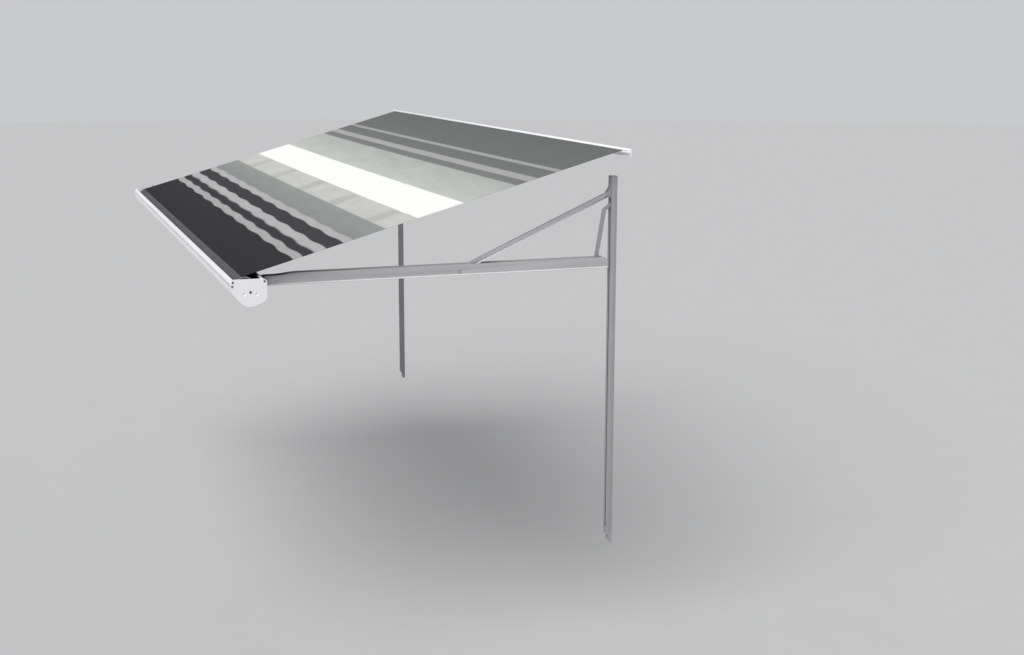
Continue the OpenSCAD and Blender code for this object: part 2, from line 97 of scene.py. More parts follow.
# Stitches: half width and half height in metres, the share of the pitch where one starts and
# ends, the swell at its ends, and the least share of its width
STITCH_W = 0.0005
STITCH_H = 0.0003
STITCH_SPAN = (0.15, 0.85)
STITCH_TIP = 0.3
STITCH_FLAT = 0.4
# How far above and below the sheet's middle the stitches lie
STITCH_LIFTS = (CLOTH_T / 2, -1.45 * CLOTH_T)
# Turns on the roller: their number, steps in a turn and along the roller, the gap to the tube,
# and the cloth's share of the pitch between two turns
ROLL_TURNS = 2
TURN_STEPS = 72
ROLL_STEPS = 24
ROLL_GAP = 0.05 * MM
ROLL_CLOTH = 0.85

# Stripes from the wall outwards: outer edge in metres from the wall, tone, gain of the tone at
# the stripe's inner and outer side, cloudiness
STRIPES = (
    (0.390, "slate", 0.88, 1.02, 0.06),
    (0.424, "fog", 0.86, 0.86, 0.08),
    (0.533, "slate", 1.04, 1.11, 0.06),
    (0.595, "fog", 0.91, 0.94, 0.08),
    (0.662, "slate", 1.25, 1.29, 0.06),
    (0.963, "pale", 0.87, 1.08, 0.16),
    (1.2285, "white", 1.00, 1.00, 0.01),
    (1.4095, "silver", 1.13, 1.08, 0.20),
    (1.594, "mid", 1.11, 0.96, 0.16),
    (1.643, "fog", 1.02, 1.02, 0.16),
    (1.737, "charcoal", 1.16, 1.16, 0.06),
    (1.801, "fog", 1.04, 1.04, 0.16),
    (1.862, "charcoal", 0.94, 0.94, 0.06),
    (1.912, "fog", 0.92, 0.92, 0.16),
    (2.190, "charcoal", 0.60, 0.46, 0.08),
)
# Half of the width over which one stripe turns into the next, in metres
STRIPE_BLEND = 0.001
# Distance from the wall where the waved stripes start and end, in metres
WAVED = (1.580, 1.940)
WAVE_FADE = 0.02
# Largest lead or lag of the swing, in radians
WAVE_DRIFT = 1.6
# Distance from the wall where the soft bars across the silver stripe start and end, in metres
BARRED = (1.240, 1.400)
BAR_FADE = 0.012
# Share of the light that a full bar takes, the clouds' share in its outline, and where on the
# ragged cosine a bar sets in and is full
BAR_DEPTH = 0.21
BAR_RAG = 1.4
BAR_ONSET = 0.64
BAR_FULL = 1.15
# The brushed clouds: their lean across the stripes, their stretch and their gain
CLOUD_LEAN = math.radians(-35)
CLOUD_STRETCH = (1.2, 4.5, 1)
CLOUD_GAIN = 2.0

# The weave: width of a thread and depth of its relief in metres, strength of the relief, and
# the shader's values that are the same all over the cloth
THREAD = 0.0026
WEAVE_DEPTH = 0.00012
WEAVE_STRENGTH = 0.5
CLOTH_SHADER = {
    "Roughness": 0.82,
    "Specular IOR Level": 0.14,
    "Sheen Weight": 0.02,
    "Sheen Roughness": 0.5,
}

# Values of a noise between which a tinted colour goes from dark to light
TINT_SPAN = (0.3, 0.7)
# How far the roughness of grained and of coated finishes wanders to both sides
GRAIN_GLOSS = 0.08
COAT_GLOSS = 0.06
# Sideways share of a face's direction between which a side slope gets the painted highlight
HIGHLIT_SLOPES = (0.70, 0.92)
SLOPE_FADE = 0.02
# How far painted shade reaches on both sides of a crease, in metres, and the light it takes there
CREASE_SHADE_REACH = 0.010
CREASE_SHADE_SHARE = 0.5

# Edges: the angles above which an edge stays crisp, on most pieces and on the white front, the
# angle above which it is rounded, the angle below which two faces count as one, and the
# steps of a rounding
SMOOTH_ANGLE = math.radians(25)
FRONT_SMOOTH = math.radians(12)
EDGE_ANGLE = math.radians(35)
FLAT_ANGLE = math.radians(0.2)
EDGE_STEPS = 2
# Points this close together are one, in metres
WELD = 2e-6
# Widths of the rounded edges that differ from the common one, in metres
RAIL_EDGE = 0.0008
PLATE_EDGE = 0.0005
ARM_EDGE = 0.0005
TOE_EDGE = 0.0004
BRACE_EDGE = 0.0003
STAY_EDGE = 0.0004
TRACK_EDGE = 0.0008
FOOT_EDGE = 0.0010
CAP_EDGE = 0.0008

# Camera: the photograph's viewing point, direction, roll and lens, and how far it sees
CAMERA_AT = Vector((9.99, -3.40, 0.597))
CAMERA_FORWARD = Vector((-0.9232, 0.3325, -0.1930))
CAMERA_ROLL = math.radians(0.17)
CAMERA_LENS = 50.96
CAMERA_SENSOR = 36.0
CAMERA_REACH = 200.0
# Where the key light comes from, the side where the surroundings are brightest, and their tint
LIGHT_FROM = Vector((0.51, -0.50, 0.70))
BRIGHT_SIDE = Vector((-0.64, 0.77, 0))
SKY_TINT = (0.97, 0.98, 1.0, 1.0)
# Sides of the floor's disc
FLOOR_SIDES = 96


class AwningFabric(bpy.types.PropertyGroup):
    """Sizes and colours of the fabric."""

    sag: bpy.props.FloatProperty(
        name="Sag", description="How far the fabric hangs in its middle",
        default=0.006, min=0, unit="LENGTH",
    )
    hem: bpy.props.FloatProperty(
        name="Hem", description="Width of the side hems",
        default=0.020, min=0, unit="LENGTH",
    )
    stitch: bpy.props.FloatProperty(
        name="Stitch", description="Length of one stitch and its gap",
        default=0.008, min=0.002, unit="LENGTH",
    )
    wave_height: bpy.props.FloatProperty(
        name="Wave height", description="How far the waved stripes swing",
        default=0.005, min=0, unit="LENGTH",
    )
    wobble: bpy.props.FloatProperty(
        name="Wobble", description="How far the other stripes' edges wander",
        default=0.0025, min=0, unit="LENGTH",
    )
    wave_length: bpy.props.FloatProperty(
        name="Wave length", description="Length of one swing of the waved stripes",
        default=0.482, unit="LENGTH",
    )
    first_crest: bpy.props.FloatProperty(
        name="First crest", description="Distance of the first swing from the front hem",
        default=0.432, unit="LENGTH",
    )
    bar_pitch: bpy.props.FloatProperty(
        name="Bar pitch", description="Distance between the soft bars",
        default=0.960, unit="LENGTH",
    )
    first_bar: bpy.props.FloatProperty(
        name="First bar", description="Distance of the first bar from the front hem",
        default=0.656, unit="LENGTH",
    )
    slate: bpy.props.FloatVectorProperty(
        name="Slate", description="Dark grey stripes near the wall",
        subtype="COLOR", default=(0.135, 0.141, 0.137),
    )
    fog: bpy.props.FloatVectorProperty(
        name="Fog", description="Thin light grey stripes",
        subtype="COLOR", default=(0.375, 0.378, 0.372),
    )
    pale: bpy.props.FloatVectorProperty(
        name="Pale", description="The broad pale grey stripe",
        subtype="COLOR", default=(0.435, 0.460, 0.432),
    )
    silver: bpy.props.FloatVectorProperty(
        name="Silver", description="The light grey stripe with soft bars",
        subtype="COLOR", default=(0.455, 0.460, 0.435),
    )
    white: bpy.props.FloatVectorProperty(
        name="White", description="The white stripe",
        subtype="COLOR", default=(0.86, 0.86, 0.84),
    )
    mid: bpy.props.FloatVectorProperty(
        name="Mid grey", description="The mid grey stripe",
        subtype="COLOR", default=(0.238, 0.247, 0.243),
    )
    charcoal: bpy.props.FloatVectorProperty(
        name="Charcoal", description="Dark stripes near the roller",
        subtype="COLOR", default=(0.030, 0.030, 0.032),
    )
    # The roll's colour is lighter than the charcoal cloth it continues: a painted highlight. The
    # stitches share it.
    rolled: bpy.props.FloatVectorProperty(
        name="Rolled", description="Fabric on the roller, and the stitches",
        subtype="COLOR", default=(0.090, 0.090, 0.092),
    )


class AwningFinish(bpy.types.PropertyGroup):
    """Colours of the hard pieces and the rounding of their edges."""

    edge: bpy.props.FloatProperty(
        name="Edge", description="Common width of the rounded edges",
        default=0.0006, min=0, unit="LENGTH",
    )
    paint: bpy.props.FloatVectorProperty(
        name="Paint", description="White powder coat",
        subtype="COLOR", default=(0.92, 0.92, 0.925),
    )
    metal: bpy.props.FloatVectorProperty(
        name="Metal", description="Satin aluminium",
        subtype="COLOR", default=(0.48, 0.48, 0.49),
    )
    casting: bpy.props.FloatVectorProperty(
        name="Casting", description="Cast fittings",
        subtype="COLOR", default=(0.22, 0.22, 0.23),
    )
    steel: bpy.props.FloatVectorProperty(
        name="Steel", description="Pins and bolts",
        subtype="COLOR", default=(0.50, 0.50, 0.52),
    )
    dark: bpy.props.FloatVectorProperty(
        name="Dark", description="Black plastic, rubber and dark screws",
        subtype="COLOR", default=(0.018, 0.018, 0.019),
    )


class AwningStage(bpy.types.PropertyGroup):
    """Floor and light."""

    floor_z: bpy.props.FloatProperty(
        name="Floor", description="Height of the floor",
        default=-3.05, unit="LENGTH",
    )
    floor_r: bpy.props.FloatProperty(
        name="Floor radius", description="Radius of the floor",
        default=60.0, unit="LENGTH",
    )
    floor: bpy.props.FloatVectorProperty(
        name="Floor colour", description="Plain pale floor",
        subtype="COLOR", default=(0.52, 0.52, 0.52),
    )
    sky: bpy.props.FloatProperty(
        name="Sky", description="Mean strength of the light from all round",
        default=0.41, min=0,
    )
    slant: bpy.props.FloatProperty(
        name="Slant", description="How much stronger that light is on its bright side",
        default=0.17, min=0,
    )
    backdrop: bpy.props.FloatProperty(
        name="Backdrop", description="Strength of the plain surroundings that the camera sees",
        default=0.60, min=0,
    )
    key: bpy.props.FloatProperty(
        name="Key", description="Strength of the broad light overhead",
        default=3.1, min=0,
    )
    softness: bpy.props.FloatProperty(
        name="Softness", description="How wide the light overhead spreads",
        default=math.radians(50), subtype="ANGLE",
    )


GROUPS = {
    "awning_fabric": AwningFabric,
    "awning_finish": AwningFinish,
    "awning_stage": AwningStage,
}


# Shader helpers


def new_material(name):
    """A node material with only a Principled shader, as (material, tree, shader)."""
    material = bpy.data.materials.new(name)
    material.use_nodes = True
    tree = material.node_tree
    tree.nodes.clear()
    out = tree.nodes.new("ShaderNodeOutputMaterial")
    shader = tree.nodes.new("ShaderNodeBsdfPrincipled")
    tree.links.new(shader.outputs["BSDF"], out.inputs["Surface"])
    return material, tree, shader


def put(tree, kind, values=None, **settings):
    """A new node with its settings, and its inputs set to values or linked to sockets."""
    node = tree.nodes.new(kind)
    for name, value in settings.items():
        setattr(node, name, value)
    for key, value in (values or {}).items():
        if isinstance(value, bpy.types.NodeSocket):
            tree.links.new(value, node.inputs[key])
        else:
            node.inputs[key].default_value = value
    return node


def maths(tree, operation, first, second=0.0):
    """A maths node's result."""
    return put(tree, "ShaderNodeMath", {0: first, 1: second}, operation=operation).outputs[0]


def scaled(tree, value, factor, shift):
    """A value times a factor, plus a shift."""
    return maths(tree, "ADD", maths(tree, "MULTIPLY", value, factor), shift)


def noise(tree, vector, scale, detail, rough=0.5):
    """A noise texture's value."""
    values = {"Vector": vector, "Scale": scale, "Detail": detail, "Roughness": rough}
    return put(tree, "ShaderNodeTexNoise", values).outputs["Fac"]


def centred(tree, value):
    """A 0 to 1 value moved to swing about 0."""
    return maths(tree, "SUBTRACT", value, 0.5)


def ranged(tree, value, start, end, low=0.0, high=1.0, **settings):
    """A value that goes from low to high while another goes from start to end."""
    values = {"Value": value, "From Min": start, "From Max": end, "To Min": low, "To Max": high}
    return put(tree, "ShaderNodeMapRange", values, **settings).outputs["Result"]


def within(tree, value, span, fade):
    """1 where a value lies in a span, falling to 0 over a fade outside it."""
    low, high = span
    rise = ranged(tree, value, low - fade, low)
    fall = ranged(tree, value, high + fade, high)
    return maths(tree, "MULTIPLY", rise, fall)


def tinted(tree, value, colour, spread):
    """A colour that grows lighter and darker with a value."""
    ramp = put(tree, "ShaderNodeValToRGB", {"Fac": value})
    shares = (1 - spread, 1 + spread)
    for stop, place, share in zip(ramp.color_ramp.elements, TINT_SPAN, shares):
        stop.color = [min(1.0, c * share) for c in colour] + [1.0]
        stop.position = place
    return ramp.outputs["Color"]


def times(tree, colour, gain):
    """A colour or vector multiplied by a gain."""
    values = {0: colour, 1: gain}
    return put(tree, "ShaderNodeVectorMath", values, operation="MULTIPLY").outputs["Vector"]


def bumped(tree, shader, height, depth, strength=1.0):
    """Links a height to the shader's normal."""
    values = {"Height": height, "Distance": depth, "Strength": strength}
    bump = put(tree, "ShaderNodeBump", values)
    tree.links.new(bump.outputs["Normal"], shader.inputs["Normal"])


# Finishes of the hard pieces


def highlighted_slopes(tree, facing, shade, rub):
    """A colour with a painted highlight: lighter by the share highlight on the side slopes."""
    sideways = put(tree, "ShaderNodeSeparateXYZ", {"Vector": facing}).outputs["X"]
    slope = within(tree, maths(tree, "ABSOLUTE", sideways), HIGHLIT_SLOPES, SLOPE_FADE)
    return times(tree, shade, scaled(tree, slope, rub, 1.0))


def grained(name, colour, metallic, roughness, grain, spread=0.06, depth=0.00004, rub=0.0):
    """A finish with grain: noise stretched along the piece, in colour, gloss and relief.

    Faces that slope at the piece's sides get a painted highlight, lighter by the share highlight.
    """
    material, tree, shader = new_material(name)
    place = put(tree, "ShaderNodeTexCoord")
    at = place.outputs["Object"]
    stretched = put(tree, "ShaderNodeMapping", {"Vector": at, "Scale": grain}).outputs["Vector"]
    streaks = noise(tree, stretched, scale=1.0, detail=4.0, rough=0.6)
    clouds = noise(tree, at, scale=3.0, detail=4.0, rough=0.6)
    halves = [maths(tree, "MULTIPLY", part, 0.5) for part in (streaks, clouds)]
    mixed = maths(tree, "ADD", *halves)
    shade = tinted(tree, mixed, colour, spread)
    # Painted highlight on the side slopes, picked by the face's direction
    if rub:
        shade = highlighted_slopes(tree, place.outputs["Normal"], shade, rub)
    gloss = ranged(tree, mixed, 0.0, 1.0, roughness - GRAIN_GLOSS, roughness + GRAIN_GLOSS)
    tree.links.new(shade, shader.inputs["Base Color"])
    tree.links.new(gloss, shader.inputs["Roughness"])
    shader.inputs["Metallic"].default_value = metallic
    bumped(tree, shader, streaks, depth)
    return material


def crease_shaded(tree, at, shade, crease):
    """A colour with painted shade: darker along a crease, a line along the wall through a point."""
    off = put(tree, "ShaderNodeVectorMath", {0: at, 1: crease}, operation="SUBTRACT")
    flat = times(tree, off.outputs["Vector"], (0, 1, 1))
    away = put(tree, "ShaderNodeVectorMath", {0: flat}, operation="LENGTH").outputs["Value"]
    return times(tree, shade, ranged(tree, away, 0.0, CREASE_SHADE_REACH, 1 - CREASE_SHADE_SHARE, 1.0))


def coated(
    name, colour, roughness, peel=450.0, depth=0.00005, spread=0.02, coat=0.0, crease=None
):
    """A coat or moulding: fine orange peel or grain, faint clouds in colour and gloss.

    Painted shade darkens it along a crease, where one is given.
    """
    material, tree, shader = new_material(name)
    at = put(tree, "ShaderNodeTexCoord").outputs["Object"]
    clouds = noise(tree, at, scale=2.2, detail=5.0, rough=0.6)
    fine = noise(tree, at, scale=peel, detail=2.0)
    shade = tinted(tree, clouds, colour, spread)
    # Painted shade along the crease
    if crease is not None:
        shade = crease_shaded(tree, at, shade, crease)
    gloss = ranged(tree, clouds, 0.0, 1.0, roughness - COAT_GLOSS, roughness + COAT_GLOSS)
    tree.links.new(shade, shader.inputs["Base Color"])
    tree.links.new(gloss, shader.inputs["Roughness"])
    shader.inputs["Coat Weight"].default_value = coat
    bumped(tree, shader, fine, depth)
    return material


# Waves per metre across the grain of drawn metal and along it, the grain along each axis, and
# the grain of pins and of screws
FINE = 500.0
LONG = 6.0
GRAIN_X = (LONG, FINE, FINE)
GRAIN_Y = (FINE, LONG, FINE)
GRAIN_Z = (FINE, FINE, LONG)
PIN_GRAIN = (40.0, 300.0, 300.0)
SCREW_GRAIN = (200.0, 200.0, 200.0)

# Each finish: what makes it, the setting that gives its colour, the share of that colour, and
# its own values
FINISHES = {
    "white_paint": (coated, "paint", 1.0, dict(roughness=0.34, coat=0.15)),
    # The rail's paint has painted shade along the crease at its brow
    "rail_paint": (coated, "paint", 1.0, dict(roughness=0.34, coat=0.15, crease=BROW)),
    "plate_paint": (coated, "paint", 0.87, dict(roughness=0.34, coat=0.15)),
    "white_plastic": (coated, "paint", 0.95, dict(roughness=0.45, peel=700.0)),
    "rail_metal": (grained, "metal", 1.0, dict(metallic=0.35, roughness=0.50, grain=GRAIN_X)),
    # The arms' side slopes carry a painted highlight
    "arm_metal": (
        grained, "metal", 1.0, dict(metallic=0.35, roughness=0.50, grain=GRAIN_Y, rub=0.75)
    ),
    "brace_metal": (grained, "metal", 1.0, dict(metallic=0.35, roughness=0.50, grain=GRAIN_Y)),
    "track_metal": (grained, "metal", 0.76, dict(metallic=0.35, roughness=0.52, grain=GRAIN_Z)),
    "cast_grey": (
        coated, "casting", 1.0, dict(roughness=0.55, peel=300.0, depth=0.00015, spread=0.10)
    ),
    "motor_case": (coated, "casting", 0.5, dict(roughness=0.45, peel=400.0, spread=0.08)),
    "steel": (
        grained, "steel", 1.0, dict(metallic=0.95, roughness=0.32, grain=PIN_GRAIN, spread=0.10)
    ),
    "dark_steel": (
        grained, "dark", 2.0, dict(metallic=0.8, roughness=0.38, grain=SCREW_GRAIN, spread=0.12)
    ),
    "black_plastic": (
        coated, "dark", 1.0, dict(roughness=0.45, peel=500.0, depth=0.0001, spread=0.15)
    ),
    "black_rubber": (
        coated, "dark", 0.9, dict(roughness=0.75, peel=350.0, depth=0.00012, spread=0.2)
    ),
}


# Finishes of the fabric


def cloth_places(tree):
    """Distances on the cloth along the wall and away from it, in metres, and the second's share."""
    uv = put(tree, "ShaderNodeTexCoord").outputs["UV"]
    parts = put(tree, "ShaderNodeSeparateXYZ", {"Vector": uv})
    across = maths(tree, "MULTIPLY", parts.outputs["X"], SHEET_W)
    along = maths(tree, "MULTIPLY", parts.outputs["Y"], SHEET_L)
    return across, along, parts.outputs["Y"]


def weave(tree, shader, across, along):
    """Cross threads as relief, from the two distances on the cloth in metres."""
    turns = math.tau / THREAD
    warp = maths(tree, "SINE", maths(tree, "MULTIPLY", across, turns))
    weft = maths(tree, "SINE", maths(tree, "MULTIPLY", along, turns))
    bumped(tree, shader, maths(tree, "MULTIPLY", warp, weft), WEAVE_DEPTH, WEAVE_STRENGTH)
    for name, value in CLOTH_SHADER.items():
        shader.inputs[name].default_value = value


def stripe_ramp(tree, position, inner, outer):
    """A ramp with a band for each stripe, which runs from its inner to its outer colour."""
    ramp = put(tree, "ShaderNodeValToRGB", {"Fac": position})
    stops = ramp.color_ramp.elements
    ends = [(stripe[0] + WALL_EDGE.y) / REACH for stripe in STRIPES]
    blend = STRIPE_BLEND / REACH
    while len(stops) < 2 * len(STRIPES):
        stops.new(1.0)
    for i, (start, end) in enumerate(zip([0.0] + ends[:-1], ends)):
        stops[2 * i].position = start + blend
        stops[2 * i].color = inner[i]
        stops[2 * i + 1].position = min(end - blend, 1.0)
        stops[2 * i + 1].color = outer[i]
    return ramp.outputs["Color"]


def stripe_tones(fabric, side):
    """The colours of all stripes at their inner (0) or outer (1) side."""
    return [[gains[side] * c for c in getattr(fabric, tone)] + [1.0] for _, tone, *gains in STRIPES]


def swing(tree, across, first, length, drift=0.0):
    """A cosine along the fabric with its first crest and its length in metres."""
    turns = maths(tree, "MULTIPLY", maths(tree, "SUBTRACT", across, first), math.tau / length)
    return maths(tree, "COSINE", maths(tree, "ADD", turns, drift))


def striped_fabric(fabric):
    """Woven fabric with stripes, some waved and one with soft bars, and faint brushed clouds."""
    material, tree, shader = new_material("striped_fabric")
    across, along, share = cloth_places(tree)
    wall = scaled(tree, share, REACH, -WALL_EDGE.y)
    cloth = put(tree, "ShaderNodeCombineXYZ", {"X": across, "Y": along}).outputs["Vector"]
    # The waved stripes swing together along the roller, with a slow drift
    line = put(tree, "ShaderNodeCombineXYZ", {"X": across}).outputs["Vector"]
    lead = centred(tree, noise(tree, line, scale=1.6, detail=1.0))
    drift = maths(tree, "MULTIPLY", lead, WAVE_DRIFT)
    wave = swing(tree, across, fabric.first_crest, fabric.wave_length, drift)
    waved = within(tree, wall, WAVED, WAVE_FADE)
    height = maths(tree, "MULTIPLY", waved, fabric.wave_height / REACH)
    # The other edges wander a little
    wander = centred(tree, noise(tree, cloth, scale=5.0, detail=1.0))
    wander = maths(tree, "MULTIPLY", wander, 2 * fabric.wobble / REACH)
    place = maths(tree, "ADD", share, maths(tree, "MULTIPLY", wave, height))
    place = maths(tree, "ADD", place, wander)
    base = stripe_ramp(tree, place, stripe_tones(fabric, 0), stripe_tones(fabric, 1))
    # Soft brushed clouds that lean across the stripes
    clouding = [[amount] * 3 + [1.0] for *_, amount in STRIPES]
    amount = stripe_ramp(tree, place, clouding, clouding)
    values = {"Vector": cloth, "Rotation": (0, 0, CLOUD_LEAN), "Scale": CLOUD_STRETCH}
    leaning = put(tree, "ShaderNodeMapping", values).outputs["Vector"]
    cloud = centred(tree, noise(tree, leaning, scale=2.4, detail=5.0, rough=0.62))
    gain = scaled(tree, maths(tree, "MULTIPLY", cloud, amount), CLOUD_GAIN, 1.0)
    # Soft ragged bars across one stripe, at an even pitch
    bar = swing(tree, across, fabric.first_bar, fabric.bar_pitch)
    ragged = maths(tree, "ADD", bar, maths(tree, "MULTIPLY", cloud, BAR_RAG))
    dark = ranged(tree, ragged, BAR_ONSET, BAR_FULL, interpolation_type="SMOOTHSTEP")
    dark = maths(tree, "MULTIPLY", dark, within(tree, wall, BARRED, BAR_FADE))
    gain = maths(tree, "SUBTRACT", gain, maths(tree, "MULTIPLY", dark, BAR_DEPTH))
    tree.links.new(times(tree, base, gain), shader.inputs["Base Color"])
    weave(tree, shader, across, along)
    return material


def plain_fabric(name, colour):
    """Woven fabric in one colour with faint clouds."""
    material, tree, shader = new_material(name)
    across, along, _ = cloth_places(tree)
    cloth = put(tree, "ShaderNodeCombineXYZ", {"X": across, "Y": along}).outputs["Vector"]
    clouds = noise(tree, cloth, scale=3.0, detail=5.0, rough=0.6)
    tree.links.new(tinted(tree, clouds, colour, spread=0.10), shader.inputs["Base Color"])
    weave(tree, shader, across, along)
    return material


# Finishes that are made already, by name
MADE = {}


def finish_of(name):
    """The named finish, made when it is first asked for."""
    if name not in MADE:
        scene = bpy.context.scene
        if name == "striped_fabric":
            MADE[name] = striped_fabric(scene.awning_fabric)
        # The rolled cloth's colour carries a painted highlight
        elif name == "rolled_fabric":
            MADE[name] = plain_fabric(name, scene.awning_fabric.rolled)
        else:
            make, setting, share, values = FINISHES[name]
            colour = [share * c for c in getattr(scene.awning_finish, setting)]
            MADE[name] = make(name, colour, **values)
    return MADE[name]


# Mesh helpers


def even_steps(low, high, count):
    """Evenly spaced values from low to high."""
    return [low + (high - low) * i / count for i in range(count + 1)]


def meshed(name, shape, smooth=SMOOTH_ANGLE):
    """The shape as a smooth mesh whose edges above an angle stay crisp. The shape is freed."""
    bmesh.ops.recalc_face_normals(shape, faces=shape.faces)
    mesh = bpy.data.meshes.new(name)
    shape.to_mesh(mesh)
    shape.free()
    # Normals that came with a CAD mesh don't fit the new edges
    stale = mesh.attributes.get("custom_normal")
    if stale:
        mesh.attributes.remove(stale)
    mesh.shade_smooth()
    if smooth is not None:
        mesh.set_sharp_from_angle(angle=smooth)
    return mesh


def paint_mesh(mesh, finish):
    """Gives a mesh one finish."""
    mesh.materials.clear()
    mesh.materials.append(finish_of(finish))


def paint_node(node, finish):
    """Gives a CAD node one finish."""
    paint_mesh(NODES[node].data, finish)


def new_object(name, mesh, finish):
    """A linked object with one finish."""
    made = bpy.data.objects.new(name, mesh)
    bpy.context.scene.collection.objects.link(made)
    paint_mesh(mesh, finish)
    return made


def eased(node, body, finish, width=None, smooth=SMOOTH_ANGLE):
    """The CAD node again with rounded edges, in its place."""
    width = bpy.context.scene.awning_finish.edge if width is None else width
    shape = bmesh.new()
    shape.from_mesh(NODES[node].data)
    bmesh.ops.remove_doubles(shape, verts=shape.verts, dist=WELD)
    bmesh.ops.dissolve_limit(
        shape, angle_limit=FLAT_ANGLE, verts=shape.verts, edges=shape.edges,
        use_dissolve_boundaries=False,
    )
    outer = [e for e in shape.edges if e.is_manifold and e.is_convex]
    sharp = [e for e in outer if e.calc_face_angle(0) > EDGE_ANGLE]
    bmesh.ops.bevel(
        shape, geom=sharp, offset=width, offset_type="OFFSET", segments=EDGE_STEPS,
        profile=0.5, affect="EDGES", clamp_overlap=False, loop_slide=True,
    )
    made = new_object(node + "_eased", meshed(node + "_eased", shape, smooth), finish)
    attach(made, body)
    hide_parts(node)


def cloth_point(x, s, lift):
    """A point on the hanging fabric: x along the wall, s from the wall edge, lift above it."""
    t = s / SHEET_L
    side = 2 * x / SHEET_W
    sag = bpy.context.scene.awning_fabric.sag * 4 * t * (1 - t) * (1 - side * side)
    return WALL_EDGE + ACROSS * x + ALONG * s + UP * (lift - sag)


def lay_uvs(shape, layer, places):
    """UVs over the whole fabric, from each vertex's place (x, s) on it."""
    for face in shape.faces:
        for loop in face.loops:
            x, s = places[loop.vert]
            loop[layer].uv = (x / SHEET_W + 0.5, s / SHEET_L)


def layered(name, rows, thickness, finish, lift=0.0):
    """A closed sheet over a grid of (x, s) rows, with UVs over the whole fabric."""
    shape = bmesh.new()
    layer = shape.loops.layers.uv.new("cloth")
    tops, lows, places = [], [], {}
    for row in rows:
        for grid, height in ((tops, lift + thickness / 2), (lows, lift - thickness / 2)):
            made = [shape.verts.new(cloth_point(x, s, height)) for x, s in row]
            places.update(zip(made, row))
            grid.append(made)
    last = len(rows) - 1
    for i in range(last):
        for j in range(len(rows[i]) - 1):
            shape.faces.new((tops[i][j], tops[i + 1][j], tops[i + 1][j + 1], tops[i][j + 1]))
            shape.faces.new((lows[i][j], lows[i][j + 1], lows[i + 1][j + 1], lows[i + 1][j]))
        for j in (0, -1):
            shape.faces.new((tops[i][j], lows[i][j], lows[i + 1][j], tops[i + 1][j]))
    for i in (0, last):
        for j in range(len(rows[i]) - 1):
            shape.faces.new((tops[i][j], tops[i][j + 1], lows[i][j + 1], lows[i][j]))
    lay_uvs(shape, layer, places)
    return new_object(name, meshed(name, shape), finish)


def folds_away(piece):
    """Rides on the wall, with a mesh of its own."""
    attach(piece, "wall_frame")
    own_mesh(piece)
    return piece


# Operators


class AWNING_OT_canopy(bpy.types.Operator):
    """Make the fabric sheet with its side hems and their stitches"""

    bl_idname = "awning.canopy"
    bl_label = "Canopy"

    def execute(self, context):
        fabric = context.scene.awning_fabric
        half = SHEET_W / 2
        across, away = SHEET_STEPS
        lines = even_steps(0, SHEET_L, away)
        rows = [[(x, s) for s in lines] for x in even_steps(-half, half, across)]
        sheet = layered("canopy_sheet", rows, CLOTH_T, "striped_fabric")
        folds_away(sheet)
        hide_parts("canopy")
        pieces = []
        for end, side in zip(ENDS, (1, -1)):
            edges = sorted((side * (half - fabric.hem), side * half))
            rows = [[(x, s) for s in lines] for x in edges]
            thickness = CLOTH_T * HEM_THICKNESS
            hem = layered(f"canopy_hem_{end}", rows, thickness, "striped_fabric", lift=-CLOTH_T)
            seam = self.stitches(end, side * (half - fabric.hem * STITCH_LINE), fabric.stitch)
            pieces += [folds_away(hem), folds_away(seam)]
        return {"FINISHED"}

    def stitches(self, end, x, pitch):
        """A row of stitches along a hem, on both faces of the fabric."""
        shape = bmesh.new()
        for i in range(int(SHEET_L / pitch)):
            start, stop = [(i + share) * pitch for share in STITCH_SPAN]
            for lift in STITCH_LIFTS:
                self.stitch(shape, x, start, stop, lift)
        name = f"hem_stitches_{end}"
        return new_object(name, meshed(name, shape, smooth=None), "rolled_fabric")

    def stitch(self, shape, x, start, stop, lift):
        """One stitch: a small bar that swells in its middle."""
        rings = []
        for s, swell in ((start, STITCH_TIP), ((start + stop) / 2, 1.0), (stop, STITCH_TIP)):
            middle = cloth_point(x, s, lift)
            up = UP * (STITCH_H * swell)
            out = ACROSS * (STITCH_W * (STITCH_FLAT + (1 - STITCH_FLAT) * swell))
            rings.append([shape.verts.new(middle + d) for d in (out, up, -out, -up)])
        for a, b in zip(rings, rings[1:]):
            for k in range(len(a)):
                n = (k + 1) % len(a)
                shape.faces.new((a[k], b[k], b[n], a[n]))
        shape.faces.new(rings[0])
        shape.faces.new(reversed(rings[-1]))


